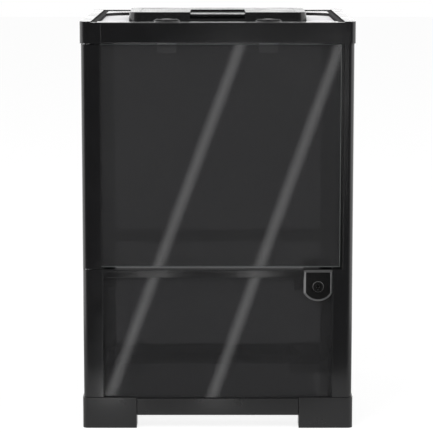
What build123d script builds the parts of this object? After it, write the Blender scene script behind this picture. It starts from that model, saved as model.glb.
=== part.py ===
from build123d import *
import os

# Glass terrarium with a swing door, a keyed lock and a lift-off screen cover.
# Millimetres. X runs to the right, Y to the back, Z up, and the front faces -Y.
# The origin is the middle of the footprint, on the surface that the feet stand on.

os.makedirs("parts", exist_ok=True)

# Overall size and the frame's members
width = 200.0
depth = 200.0
height = 300.0
corner_x = 15.4            # corner connectors, seen from the front
corner_y = 18.8            # and from the side
face_step = 0.8            # posts and base rails lie this far behind the connectors
edge_round = 4.0           # upright outer edges of the frame
soft_edge = 1.0            # other moulded edges
wall_clear = 0.2           # between parts that stand side by side and move

# Feet and base rails
foot_height = 23.0
foot_length = 40.0
foot_wall = 1.8
pocket_inset = 0.5         # the shoe's pockets, narrower on each side than the walls ask
skirt_bottom = 9.6
skirt_top = 22.0
base_rail_wall = 8.2       # upright part of a base rail
sill_thickness = 1.5       # ledge that carries the floor glass

# Glass
glass = 3.0
glass_cover = 2.0          # plastic between a pane and the outer face
bite = 4.0                 # a pane's edge inside its groove
fit_gap = 0.1              # each side of a pane in its groove
seat_gap = 0.3             # beyond the edge of a pane in its groove

# Middle rails
split_height = 119.0       # top of both middle rails
front_rail_height = 6.0
front_rail_depth = 7.2
back_rail_height = 9.6
rail_bead = 1.7            # bead along the front rail's top edge
rail_step = 0.6            # and how far the rest lies behind it
rail_round = 0.5           # softened edges of the middle rails

# Top rails and the seat of the cover
band_height = 15.2
seat_height = 7.2          # from the band's lower edge to the cover's seat
side_rim = 8.0
front_rim = 4.0
front_rail_width = 10.0
rim_rise = 0.7             # the side rims stand this much above the front rim
chamber = 5.2              # square chamber in the posts
chamber_wall = 2.1         # between it and the post's inner side
spigot_gap = 0.1
spigot_length = 12.0
spigot_taper = 1.0         # degrees
rail_chamber = 4.2
rail_chamber_inset = 4.3   # middle of a side rail's chamber, from its inner side

# Door
door_glass_setback = 2.0   # its front face behind the frame's front
door_side_gap = 2.1        # from the door glass to the right post's ridge
door_gap_low = 1.8
door_gap_high = 0.6
door_bevel = 0.4           # ground edges of the door glass
ridge_width = 7.3          # right post's ridge beside the door glass
stile_width = 14.0
stile_depth = 8.0
stile_corner = 3.5         # outer front edge of the stile
stile_gap = 0.5            # above and below the stile
stile_slot = 4.2
stile_back_gap = 0.6       # between the stile and the post behind it
pin_radius = 1.5
pin_flange_radius = 2.8
pin_depth = 8.0
running_gap = 0.05
round_spare = 0.01         # a full round stops this short of the middle

# Lock
lock_width = 21.2
lock_post_gap = 0.2        # from the plate to the right post
lock_top = 118.6
lock_straight = 101.5
lock_bottom = 95.3
lock_bevel = 1.6
bevel_angle = 45.0         # degrees
cylinder_z = 106.4
cylinder_radius = 4.0
cylinder_proud = 0.4       # in front of the lock's plate
key_slot_length = 5.0
key_slot_width = 1.2
key_slot_depth = 3.0
key_tip_width = 2.2
key_tip_height = 1.4
barrel_radius = 4.9
glass_hole_radius = 5.2
nut_radius = 6.3
nut_thickness = 2.3
cam_length = 17.6
cam_width = 8.0
cam_thickness = 2.0
cam_square = 4.0
cam_back = 4.7             # from the glass's inner face to the cam's back
cam_hub_wall = 1.0         # the cam's hub, wider than its arm on each side
cam_round = 1.5
screw_radius = 3.5
screw_head = 1.2
screw_round = 0.5
screw_slot_length = 4.0
screw_slot_width = 0.8
screw_slot_depth = 0.7
strike_height = 6.2
strike_below = 1.0         # the strike hangs this far below the door glass
strike_wall = 1.6
strike_play = 1.4          # from the cam's back to the hook
strike_post_gap = 1.2      # from the strike to the right post

# Cover
cover_gap = 0.2            # between the cover and the rims
cover_drop = 0.6           # its top below the front rim
plate_thickness = 2.2
cover_skirt = 2.0
cover_round = 1.5
window_side = 3.2          # border beside the mesh
window_front = 26.0        # front edge of the mesh, from the frame's front
window_back = 36.0         # rear edge, from the frame's back
window_round_front = 6.0
window_round_back = 20.0
mesh_thickness = 0.6
mesh_pitch = 8.0
mesh_bar = 1.2

# Rotary latches
latch_side = 63.0          # from the frame's side
latch_inset = 14.0         # from the frame's front or back
knob_radius = 9.5
knob_thickness = 1.3
knob_round = 0.5
hub_radius = 4.0
hub_height = 1.1
grip_length = 17.5
grip_height = 0.9
grip_width = 3.2
shaft_radius = 3.0
latch_boss_wall = 2.0
tongue_reach = 6.0
tongue_thickness = 2.5
tongue_square = 4.0
keeper_width = 13.8
keeper_depth = 4.0
keeper_height = 7.0
keeper_slot = 3.3
keeper_wall = 1.5

# Feeding hatch
hatch_width = 134.0
hatch_front = 60.0         # from the frame's front
hatch_depth = 76.0
hatch_round = 7.0
hatch_taper = 5.0          # degrees
hatch_height = 5.1         # above the cover's plate
hatch_side = 8.5           # ring beside the lid
hatch_ledge = 2.5
mouth_gap = 0.6            # from the lid's round rear edge to the mouth
lid_thickness = 3.6
lid_gap = 0.3
lid_rear_gap = 2.6         # from the pivot to the ring's rear wall
notch_width = 42.0
notch_sill = 2.3
tab_reach = 5.3
tab_rise = 0.5             # the tab's underside above the lid's
recess_depth = 1.6
recess_length = 36.0
coffer_rib = 3.0
coffer_depth = 1.4
hatch_pin_radius = 1.0
hatch_pin_length = 11.0
hatch_pin_bite = 5.0       # in the lid

# Cable plugs
plug_side = 34.3           # the outer plug, from the frame's left side
plug_spacing = 12.0
plug_inset = 16.0          # from the frame's back
plug_radius = 3.2
plug_flange_radius = 4.0
plug_flange = 2.6
plug_round = 0.6
plug_length = 4.6
plug_tip = 1.0             # tapered lead-in at the plug's lower end
plug_tip_narrow = 0.6

# Places that follow from the sizes above
half_x = width / 2
half_y = depth / 2
inner_x = half_x - corner_x
inner_y = half_y - corner_y
post_x = half_x - face_step
post_y = half_y - face_step
band_bottom = height - band_height
seat_z = band_bottom + seat_height
sill_z = skirt_bottom + sill_thickness
base_inner_x = post_x - base_rail_wall
base_inner_y = post_y - base_rail_wall
pane_out_x = post_x - glass_cover - fit_gap
pane_in_x = pane_out_x - glass
pane_out_y = post_y - glass_cover - fit_gap
pane_in_y = pane_out_y - glass
front_rail_bottom = split_height - front_rail_height
back_rail_bottom = split_height - back_rail_height
chamber_x = (inner_x + pane_in_x - fit_gap) / 2
chamber_y = inner_y + chamber_wall + chamber / 2
pivot_x = -post_x + stile_depth / 2
pivot_y = -post_y + stile_depth / 2
stile_bottom = split_height + stile_gap
stile_top = band_bottom - stile_gap
recess_y = post_y - stile_depth - stile_back_gap
door_out_y = half_y - door_glass_setback
door_in_y = door_out_y - glass
rabbet_y = door_in_y - 2 * wall_clear
door_glass_reach = post_x - ridge_width - door_side_gap
cover_top = height - cover_drop
plate_bottom = cover_top - plate_thickness
cover_x = half_x - side_rim - cover_gap
cover_y = half_y - front_rim - cover_gap
lock_x = inner_x - lock_post_gap - lock_width / 2
latch_x = half_x - latch_side
latch_y = half_y - latch_inset
plug_x = (-half_x + plug_side, -half_x + plug_side + plug_spacing)
plug_y = half_y - plug_inset
mesh_lap = window_side - cover_skirt - wall_clear
keeper_bottom = band_bottom - keeper_height
slot_top = band_bottom - keeper_wall
slot_bottom = slot_top - keeper_slot

# Panes that don't move: lowest and highest value along X, Y and Z
low_edge = skirt_top - bite
high_edge = band_bottom + bite
floor_x = base_inner_x - seat_gap
floor_y = base_inner_y - seat_gap
PANES = {
    "floor_glass": ((-floor_x, floor_x), (-floor_y, floor_y), (sill_z, sill_z + glass)),
    "left_side_glass": (
        (-pane_out_x, -pane_in_x),
        (-inner_y - bite, inner_y + bite),
        (low_edge, high_edge),
    ),
    "right_side_glass": (
        (pane_in_x, pane_out_x),
        (-inner_y - bite, inner_y + bite),
        (low_edge, high_edge),
    ),
    "lower_front_glass": (
        (-inner_x - bite, inner_x + bite),
        (-pane_out_y, -pane_in_y),
        (low_edge, front_rail_bottom + bite),
    ),
    "back_lower_glass": (
        (-inner_x - bite, inner_x + bite),
        (pane_in_y, pane_out_y),
        (low_edge, back_rail_bottom + bite),
    ),
    "back_upper_glass": (
        (-inner_x - bite, inner_x + bite),
        (pane_in_y, pane_out_y),
        (split_height - bite, high_edge),
    ),
}


def block(x, y, z, mode=Mode.ADD):
    """A block between two values along each axis."""
    with Locations(((x[0] + x[1]) / 2, (y[0] + y[1]) / 2, (z[0] + z[1]) / 2)):
        Box(x[1] - x[0], y[1] - y[0], z[1] - z[0], mode=mode)


def cut_seats():
    """Cut the groove of every fixed pane that reaches into the part being built."""
    for x, y, z in PANES.values():
        gap_x = fit_gap if x[1] - x[0] <= glass else seat_gap
        gap_y = fit_gap if y[1] - y[0] <= glass else seat_gap
        gap_z = fit_gap if z[1] - z[0] <= glass else seat_gap
        block(
            (x[0] - gap_x, x[1] + gap_x),
            (y[0] - gap_y, y[1] + gap_y),
            (z[0], z[1] + gap_z),
            mode=Mode.SUBTRACT,
        )


def outer_vertex(outline, sx, sy):
    """The corner of an outline that lies furthest out towards one upright edge of the frame."""
    return outline.vertices().sort_by(lambda v: sx * v.X + sy * v.Y)[-1]


def save(part, name):
    """Label a finished piece and write it."""
    part.label = name
    export_step(part, f"parts/{name}.step")


def save_mirrored(part, name, about):
    """Write the piece that is the mirror image of another."""
    with BuildPart() as copy:
        mirror(part, about=about)
    save(copy.part, name)


def post_section(sx, sy, height_from, height_to, shape):
    """One stretch of a corner post: a rounded profile with a square chamber.

    shape is full, ridge (rabbeted for the door glass) or recess (set back behind the hinge stile).
    """
    if shape == "full":
        outline = [(inner_x, inner_y), (post_x, inner_y), (post_x, post_y), (inner_x, post_y)]
    elif shape == "ridge":
        ridge_x = post_x - ridge_width
        outline = [
            (inner_x, inner_y), (post_x, inner_y), (post_x, post_y),
            (ridge_x, post_y), (ridge_x, rabbet_y), (inner_x, rabbet_y),
        ]
    else:
        outline = [(inner_x, inner_y), (post_x, inner_y), (post_x, recess_y), (inner_x, recess_y)]
    with BuildSketch(Plane.XY.offset(height_from)) as section:
        with BuildLine():
            Polyline([(sx * x, sy * y) for x, y in outline], close=True)
        make_face()
        radius = soft_edge if shape == "recess" else edge_round
        fillet(outer_vertex(section, sx, sy), radius)
        with Locations((sx * chamber_x, sy * chamber_y)):
            Rectangle(chamber, chamber, mode=Mode.SUBTRACT)
    extrude(section.sketch, amount=height_to - height_from)


def base_rail(profile_plane, run, inner, outer):
    """An L-shaped rail: an upright wall that holds a pane, and a sill under the floor glass."""
    wall_inner = outer - base_rail_wall
    with BuildSketch(profile_plane.offset(-run)) as profile:
        with BuildLine():
            Polyline(
                (outer, skirt_bottom), (outer, skirt_top), (wall_inner, skirt_top),
                (wall_inner, sill_z), (inner, sill_z), (inner, skirt_bottom), close=True,
            )
        make_face()
    extrude(profile.sketch, amount=2 * run)


def round_foot(plan):
    """Round the frame's upright edge and the two ends of a foot's outline."""
    fillet(outer_vertex(plan, 1, 1), edge_round)
    fillet(plan.vertices().sort_by(lambda v: v.Y - v.X)[-1], soft_edge)
    fillet(plan.vertices().sort_by(lambda v: v.X - v.Y)[-1], soft_edge)


# Corner feet: a shoe with two legs under the base rails, a wall round the corner,
# and a block with a spigot that stands inside the post
with BuildPart() as foot:
    leg_start_x = half_x - foot_length
    leg_start_y = half_y - foot_length
    leg_inner_y = half_y - corner_x
    with BuildSketch() as shoe_plan:
        with BuildLine():
            Polyline(
                (leg_start_x, leg_inner_y), (leg_start_x, half_y), (half_x, half_y),
                (half_x, leg_start_y), (inner_x, leg_start_y), (inner_x, leg_inner_y), close=True,
            )
        make_face()
        round_foot(shoe_plan)
    extrude(amount=skirt_bottom)
    with BuildSketch(Plane.XY.offset(skirt_bottom)) as wall_plan:
        with BuildLine():
            Polyline(
                (leg_start_x, half_y - foot_wall), (leg_start_x, half_y), (half_x, half_y),
                (half_x, leg_start_y), (half_x - foot_wall, leg_start_y), (half_x - foot_wall, inner_y),
                (inner_x, inner_y), (inner_x, half_y - foot_wall), close=True,
            )
        make_face()
        round_foot(wall_plan)
    extrude(amount=foot_height - skirt_bottom)
    pocket = foot_length - corner_x - 2 * foot_wall
    pocket_width = corner_x - 2 * (foot_wall + pocket_inset)
    for leg_x, leg_y, size_x, size_y in (
        (leg_start_x + foot_wall + pocket / 2, half_y - corner_x / 2, pocket, pocket_width),
        (half_x - corner_x / 2, leg_start_y + foot_wall + pocket / 2, pocket_width, pocket),
    ):
        with BuildSketch(Plane.XY.offset(skirt_bottom)):
            with Locations((leg_x, leg_y)):
                RectangleRounded(size_x, size_y, soft_edge)
        extrude(amount=foot_wall - skirt_bottom, mode=Mode.SUBTRACT)
    cut_seats()
    with BuildSketch(Plane.XY.offset(foot_height)):
        with Locations((chamber_x, chamber_y)):
            Rectangle(chamber - 2 * spigot_gap, chamber - 2 * spigot_gap)
    extrude(amount=spigot_length, taper=spigot_taper)
save(foot.part, "foot_back_right")
save_mirrored(foot.part, "foot_back_left", Plane.YZ)
with BuildPart() as foot_front:
    mirror(foot.part, about=Plane.XZ)
save(foot_front.part, "foot_front_right")
save_mirrored(foot_front.part, "foot_front_left", Plane.YZ)

# Base rails, rebated at both ends where the feet's walls stand in front of them
rebate_x = half_x - foot_length - seat_gap
rebate_y = half_y - foot_length - seat_gap
with BuildPart() as base_rail_back:
    base_rail(Plane.YZ, inner_x, half_y - corner_x, post_y)
    for side in (-1, 1):
        ends = sorted((side * rebate_x, side * inner_x))
        block(ends, (half_y - foot_wall, half_y), (skirt_bottom, skirt_top), mode=Mode.SUBTRACT)
    cut_seats()
save(base_rail_back.part, "base_rail_back")
save_mirrored(base_rail_back.part, "base_rail_front", Plane.XZ)
with BuildPart() as base_rail_right:
    base_rail(Plane.XZ, inner_y, inner_x, post_x)
    for side in (-1, 1):
        ends = sorted((side * rebate_y, side * inner_y))
        block((half_x - foot_wall, half_x), ends, (skirt_bottom, skirt_top), mode=Mode.SUBTRACT)
    cut_seats()
save(base_rail_right.part, "base_rail_right")
save_mirrored(base_rail_right.part, "base_rail_left", Plane.YZ)

# Corner posts
with BuildPart() as post_back_right:
    post_section(1, 1, foot_height, band_bottom, "full")
    cut_seats()
save(post_back_right.part, "post_back_right")
save_mirrored(post_back_right.part, "post_back_left", Plane.YZ)
with BuildPart() as post_front_right:
    post_section(1, -1, foot_height, split_height, "full")
    post_section(1, -1, split_height, band_bottom, "ridge")
    cut_seats()
save(post_front_right.part, "post_front_right")
with BuildPart() as post_front_left:
    post_section(-1, -1, foot_height, split_height, "full")
    post_section(-1, -1, split_height, band_bottom, "recess")
    cut_seats()
    with Locations((pivot_x, pivot_y, split_height)):
        Hole(pin_radius, depth=pin_depth)
save(post_front_left.part, "post_front_left")


def top_corner(sy):
    """A top corner on the right: a block with the cover's seat cut out and a spigot for the post."""
    with BuildSketch(Plane.XY.offset(band_bottom)) as plan:
        with BuildLine():
            Polyline(
                (inner_x, sy * inner_y), (half_x, sy * inner_y),
                (half_x, sy * half_y), (inner_x, sy * half_y), close=True,
            )
        make_face()
        fillet(outer_vertex(plan, 1, sy), edge_round)
    extrude(plan.sketch, amount=band_height + rim_rise)
    rim_x = half_x - side_rim
    rim_y = half_y - front_rim
    span = sorted((sy * inner_y, sy * rim_y))
    block((inner_x, rim_x), span, (seat_z, height + rim_rise), mode=Mode.SUBTRACT)
    ahead = sorted((sy * rim_y, sy * half_y))
    block((inner_x, rim_x), ahead, (height, height + rim_rise), mode=Mode.SUBTRACT)
    cut_seats()
    with BuildSketch(Plane.XY.offset(band_bottom)) as spigot:
        with Locations((chamber_x, sy * chamber_y)):
            Rectangle(chamber - 2 * spigot_gap, chamber - 2 * spigot_gap)
    extrude(spigot.sketch, amount=-spigot_length, taper=spigot_taper)


with BuildPart() as top_corner_back_right:
    top_corner(1)
save(top_corner_back_right.part, "top_corner_back_right")
save_mirrored(top_corner_back_right.part, "top_corner_back_left", Plane.YZ)
with BuildPart() as top_corner_front_right:
    top_corner(-1)
save(top_corner_front_right.part, "top_corner_front_right")
with BuildPart() as top_corner_front_left:
    mirror(top_corner_front_right.part, about=Plane.YZ)
    with BuildSketch(Plane.XY.offset(band_bottom)):
        with Locations((pivot_x, pivot_y)):
            Circle(pin_radius)
    extrude(amount=pin_depth, mode=Mode.SUBTRACT)
save(top_corner_front_left.part, "top_corner_front_left")

# Top rails: an L-shaped profile with a chamber, the cover's seat inside and the rim outside
with BuildPart() as top_rail_right:
    with BuildSketch(Plane.XZ.offset(-inner_y)) as rail_profile:
        with BuildLine():
            Polyline(
                (inner_x, band_bottom), (half_x, band_bottom), (half_x, height + rim_rise),
                (half_x - side_rim, height + rim_rise), (half_x - side_rim, seat_z), (inner_x, seat_z),
                close=True,
            )
        make_face()
        fillet(rail_profile.vertices().group_by(Axis.X)[-1], soft_edge)
        with Locations((inner_x + rail_chamber_inset, (band_bottom + seat_z) / 2)):
            Rectangle(rail_chamber, rail_chamber, mode=Mode.SUBTRACT)
    extrude(amount=2 * inner_y)
    cut_seats()
save(top_rail_right.part, "top_rail_right")
save_mirrored(top_rail_right.part, "top_rail_left", Plane.YZ)


def cross_rail(sy):
    """The front (-1) or back (1) top rail, with a lower block inside and a thinner rim above it."""
    with BuildSketch(Plane.YZ.offset(-inner_x)) as profile:
        with BuildLine():
            Polyline(
                (sy * (half_y - front_rail_width), band_bottom), (sy * half_y, band_bottom),
                (sy * half_y, height), (sy * (half_y - front_rim), height),
                (sy * (half_y - front_rim), seat_z), (sy * (half_y - front_rail_width), seat_z),
                close=True,
            )
        make_face()
        fillet(profile.vertices().group_by(Axis.X)[-1 if sy > 0 else 0], soft_edge)
    extrude(profile.sketch, amount=2 * inner_x)
    cut_seats()


with BuildPart() as top_rail_front:
    cross_rail(-1)
save(top_rail_front.part, "top_rail_front")
with BuildPart() as top_rail_back:
    cross_rail(1)
save(top_rail_back.part, "top_rail_back")

# Front middle rail: an inverted U over the lower pane, with a bead along its top edge,
# cut back at the right where the lock housing stands
with BuildPart() as front_middle_rail:
    with BuildSketch(Plane.YZ.offset(-inner_x)) as rail_profile:
        with BuildLine():
            Polyline(
                (-post_y, split_height), (-post_y, split_height - rail_bead),
                (-post_y + rail_step, split_height - rail_bead), (-post_y + rail_step, front_rail_bottom),
                (-post_y + front_rail_depth, front_rail_bottom), (-post_y + front_rail_depth, split_height),
                close=True,
            )
        make_face()
        fillet(rail_profile.vertices().sort_by(Axis.X)[:2].sort_by(Axis.Y)[-1], rail_round)
    extrude(amount=2 * inner_x)
    cut_seats()
    block(
        (lock_x - lock_width / 2 - fit_gap, inner_x),
        (-half_y, -pane_out_y),
        (front_rail_bottom, split_height),
        mode=Mode.SUBTRACT,
    )
save(front_middle_rail.part, "front_middle_rail")

# Back middle rail: an H over the lower pane and under the upper one
with BuildPart() as back_middle_rail:
    with BuildSketch(Plane.YZ.offset(-inner_x)) as rail_profile:
        with Locations((post_y - front_rail_depth / 2, (back_rail_bottom + split_height) / 2)):
            RectangleRounded(front_rail_depth, back_rail_height, rail_round)
    extrude(amount=2 * inner_x)
    cut_seats()
save(back_middle_rail.part, "back_middle_rail")

# Fixed panes; the lower front pane has a hole for the lock's barrel
for pane_name, (pane_x, pane_y, pane_z) in PANES.items():
    with BuildPart() as pane:
        block(pane_x, pane_y, pane_z)
        if pane_name == "lower_front_glass":
            with BuildSketch(Plane.XZ.offset(pane_in_y)):
                with Locations((lock_x, cylinder_z)):
                    Circle(glass_hole_radius)
            extrude(amount=glass, mode=Mode.SUBTRACT)
    save(pane.part, pane_name)

# Door: a pane glued into the slot of a hinge stile that turns on two pins
with BuildPart() as door_hinge_stile:
    stile_left = -post_x
    stile_right = stile_left + stile_width
    stile_back = -post_y + stile_depth
    with BuildSketch(Plane.XY.offset(stile_bottom)) as stile_plan:
        with BuildLine():
            Polyline(
                (stile_left, -post_y), (stile_right, -post_y),
                (stile_right, stile_back), (stile_left, stile_back), close=True,
            )
        make_face()
        fillet(outer_vertex(stile_plan, -1, -1), stile_corner)
        fillet(outer_vertex(stile_plan, -1, 1), stile_depth / 2 - round_spare)
        with Locations((stile_right - stile_slot / 2, (-door_out_y - door_in_y) / 2)):
            Rectangle(stile_slot, glass + 2 * fit_gap, mode=Mode.SUBTRACT)
        with Locations((pivot_x, pivot_y)):
            Circle(pin_radius + running_gap, mode=Mode.SUBTRACT)
    extrude(amount=stile_top - stile_bottom)
save(door_hinge_stile.part, "door_hinge_stile")

with BuildPart() as door_glass:
    door_left = stile_right - stile_slot
    door_low = split_height + door_gap_low
    door_high = band_bottom - door_gap_high
    block((door_left, door_glass_reach), (-door_out_y, -door_in_y), (door_low, door_high))
    right_edges = door_glass.edges().filter_by(Axis.Z).group_by(Axis.X)[-1]
    cross_edges = door_glass.edges().filter_by(Axis.X)
    chamfer(right_edges + cross_edges, door_bevel)
save(door_glass.part, "door_glass")

with BuildPart() as lower_hinge_pin:
    with BuildSketch(Plane.XZ.offset(-pivot_y)):
        with BuildLine():
            Polyline(
                (pivot_x, split_height - pin_depth), (pivot_x + pin_radius, split_height - pin_depth),
                (pivot_x + pin_radius, split_height), (pivot_x + pin_flange_radius, split_height),
                (pivot_x + pin_flange_radius, stile_bottom - running_gap),
                (pivot_x + pin_radius, stile_bottom - running_gap),
                (pivot_x + pin_radius, split_height + pin_depth), (pivot_x, split_height + pin_depth),
                close=True,
            )
        make_face()
    revolve(axis=Axis((pivot_x, pivot_y, 0), (0, 0, 1)))
save(lower_hinge_pin.part, "lower_hinge_pin")
hinge_middle = Plane.XY.offset((split_height + band_bottom) / 2)
save_mirrored(lower_hinge_pin.part, "upper_hinge_pin", hinge_middle)

# Strike: a hook glued behind the door glass, which the cam reaches up into
with BuildPart() as door_strike:
    strike_low = door_low - strike_below
    strike_high = strike_low + strike_height
    strike_in = -pane_in_y + cam_back + strike_play
    strike_left = lock_x - lock_width / 2
    with BuildSketch(Plane.YZ.offset(strike_left)):
        with BuildLine():
            Polyline(
                (-door_in_y, strike_low), (-door_in_y, strike_high),
                (strike_in + strike_wall, strike_high), (strike_in + strike_wall, strike_low),
                (strike_in, strike_low), (strike_in, strike_high - strike_wall),
                (-door_in_y + strike_wall, strike_high - strike_wall),
                (-door_in_y + strike_wall, strike_low), close=True,
            )
        make_face()
    extrude(amount=inner_x - strike_post_gap - strike_left)
save(door_strike.part, "door_strike")

# Lock housing: a shield-shaped plate with a bevelled edge, and a barrel through the pane
with BuildPart() as lock_housing:
    lock_left = lock_x - lock_width / 2
    lock_right = lock_x + lock_width / 2
    with BuildSketch(Plane.XZ.offset(pane_out_y)):
        with BuildLine():
            Polyline(
                (lock_left, lock_straight), (lock_left, lock_top),
                (lock_right, lock_top), (lock_right, lock_straight),
            )
            ThreePointArc((lock_left, lock_straight), (lock_x, lock_bottom), (lock_right, lock_straight))
        make_face()
    extrude(amount=half_y - cylinder_proud - lock_bevel - pane_out_y)
    extrude(lock_housing.faces().sort_by(Axis.Y)[0], amount=lock_bevel, taper=bevel_angle)
    with BuildSketch(Plane.XZ.offset(pane_out_y)):
        with Locations((lock_x, cylinder_z)):
            Circle(barrel_radius)
    extrude(amount=-(glass + nut_thickness))
    with BuildSketch(Plane.XZ.offset(half_y)):
        with Locations((lock_x, cylinder_z)):
            Circle(cylinder_radius + running_gap)
    extrude(amount=-(half_y - pane_in_y + nut_thickness), mode=Mode.SUBTRACT)
save(lock_housing.part, "lock_housing")

with BuildPart() as lock_nut:
    with BuildSketch(Plane.XZ.offset(pane_in_y)):
        with Locations((lock_x, cylinder_z)):
            RegularPolygon(nut_radius, 6)
            Circle(barrel_radius + running_gap, mode=Mode.SUBTRACT)
    extrude(amount=-nut_thickness)
save(lock_nut.part, "lock_nut")

# Lock cylinder with its key slot, and the square that carries the cam
cam_rear_y = pane_in_y - cam_back
with BuildPart() as lock_cylinder:
    with BuildSketch(Plane.XZ.offset(half_y)):
        with Locations((lock_x, cylinder_z)):
            Circle(cylinder_radius)
    extrude(amount=-(half_y - cam_rear_y - cam_thickness))
    rim_face = lock_cylinder.faces().sort_by(Axis.Y)[0]
    chamfer(rim_face.edges(), cylinder_proud / 2)
    with BuildSketch(Plane.XZ.offset(half_y)):
        with Locations((lock_x, cylinder_z)):
            SlotOverall(key_slot_length, key_slot_width, rotation=90)
            Rectangle(key_tip_width, key_tip_height)
    extrude(amount=-key_slot_depth, mode=Mode.SUBTRACT)
    with BuildSketch(Plane.XZ.offset(cam_rear_y + cam_thickness)):
        with Locations((lock_x, cylinder_z)):
            Rectangle(cam_square, cam_square)
    extrude(amount=-cam_thickness)
save(lock_cylinder.part, "lock_cylinder")

# Cam: a flat arm that points left when unlocked and up when locked
with BuildPart() as lock_cam:
    with BuildSketch(Plane.XZ.offset(cam_rear_y + cam_thickness)) as arm:
        with Locations((lock_x, cylinder_z)):
            Circle(cam_width / 2 + cam_hub_wall)
        with Locations((lock_x - cam_length / 2, cylinder_z)):
            Rectangle(cam_length, cam_width)
        fillet(arm.vertices().group_by(Axis.X)[0], cam_round)
        with Locations((lock_x, cylinder_z)):
            Rectangle(cam_square + 2 * running_gap, cam_square + 2 * running_gap, mode=Mode.SUBTRACT)
    extrude(amount=-cam_thickness)
save(lock_cam.part, "lock_cam")

with BuildPart() as cam_screw:
    with BuildSketch(Plane.XZ.offset(cam_rear_y)):
        with Locations((lock_x, cylinder_z)):
            Circle(screw_radius)
    extrude(amount=-screw_head)
    fillet(cam_screw.faces().sort_by(Axis.Y)[-1].edges(), screw_round)
    with BuildSketch(Plane.XZ.offset(cam_rear_y - screw_head)):
        with Locations((lock_x, cylinder_z)):
            Rectangle(screw_slot_length, screw_slot_width)
            Rectangle(screw_slot_width, screw_slot_length)
    extrude(amount=screw_slot_depth, mode=Mode.SUBTRACT)
save(cam_screw.part, "cam_screw")

# Cover frame: a thin plate with a skirt that stands on the seat, a window for the mesh,
# bosses for the latches and two cable inlets in the rear deck
window_x = cover_x - window_side
window_low = -half_y + window_front
window_high = half_y - window_back
latch_places = [(sx * latch_x, sy * latch_y) for sy in (-1, 1) for sx in (-1, 1)]


def window_rectangle(grow):
    """The mesh window's bounding rectangle, grown all round."""
    with Locations((0, (window_low + window_high) / 2)):
        Rectangle(2 * (window_x + grow), window_high - window_low + 2 * grow)


with BuildPart() as cover_frame:
    with BuildSketch(Plane.XY.offset(seat_z)):
        RectangleRounded(2 * cover_x, 2 * cover_y, cover_round)
        Rectangle(2 * (cover_x - cover_skirt), 2 * (cover_y - cover_skirt), mode=Mode.SUBTRACT)
    extrude(amount=plate_bottom - seat_z)
    with BuildSketch(Plane.XY.offset(plate_bottom)):
        RectangleRounded(2 * cover_x, 2 * cover_y, cover_round)
    extrude(amount=plate_thickness)
    with BuildSketch(Plane.XY.offset(plate_bottom)) as window:
        window_rectangle(0)
        fillet(window.vertices().group_by(Axis.Y)[0], window_round_front)
        fillet(window.vertices().group_by(Axis.Y)[-1], window_round_back)
    extrude(amount=plate_thickness, mode=Mode.SUBTRACT)
    with BuildSketch(Plane.XY.offset(seat_z)):
        with Locations(*latch_places):
            Circle(shaft_radius + latch_boss_wall)
    extrude(amount=plate_bottom - seat_z)
    with BuildSketch(Plane.XY.offset(seat_z)):
        with Locations(*latch_places):
            Circle(shaft_radius + running_gap)
        with Locations(*[(x, plug_y) for x in plug_x]):
            Circle(plug_radius + running_gap)
    extrude(amount=cover_top - seat_z, mode=Mode.SUBTRACT)
save(cover_frame.part, "cover_frame")

# Hatch ring, on the mesh: tapered walls, a ledge for the lid and a finger notch in front
ring_low = -half_y + hatch_front
ring_high = ring_low + hatch_depth
ring_middle = (ring_low + ring_high) / 2
ring_top = cover_top + hatch_height
lid_x = hatch_width / 2 - hatch_side - lid_gap
lid_low = ring_low + hatch_side + lid_gap
lid_bottom = ring_top - lid_thickness
hatch_pivot_y = ring_high - hatch_side + lid_gap - lid_rear_gap
hatch_pivot_z = ring_top - lid_thickness / 2
mouth_x = lid_x - hatch_ledge
mouth_low = lid_low + hatch_ledge
mouth_high = hatch_pivot_y - lid_thickness / 2 - mouth_gap
with BuildPart() as hatch_frame:
    with BuildSketch(Plane.XY.offset(plate_bottom)):
        with Locations((0, ring_middle)):
            RectangleRounded(hatch_width, hatch_depth, hatch_round)
    extrude(amount=ring_top - plate_bottom, taper=hatch_taper)
    block((-mouth_x, mouth_x), (mouth_low, mouth_high), (plate_bottom, ring_top), mode=Mode.SUBTRACT)
    block(
        (-lid_x - lid_gap, lid_x + lid_gap),
        (lid_low - lid_gap, hatch_pivot_y + lid_rear_gap),
        (lid_bottom - fit_gap, ring_top),
        mode=Mode.SUBTRACT,
    )
    block(
        (-notch_width / 2, notch_width / 2),
        (ring_low, lid_low),
        (plate_bottom + notch_sill, ring_top),
        mode=Mode.SUBTRACT,
    )
    pin_hole = hatch_pin_length - hatch_pin_bite - lid_gap
    for side in (-1, 1):
        with BuildSketch(Plane.YZ.offset(side * (lid_x + lid_gap))):
            with Locations((hatch_pivot_y, hatch_pivot_z)):
                Circle(hatch_pin_radius)
        extrude(amount=side * pin_hole, mode=Mode.SUBTRACT)
save(hatch_frame.part, "hatch_frame")

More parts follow.
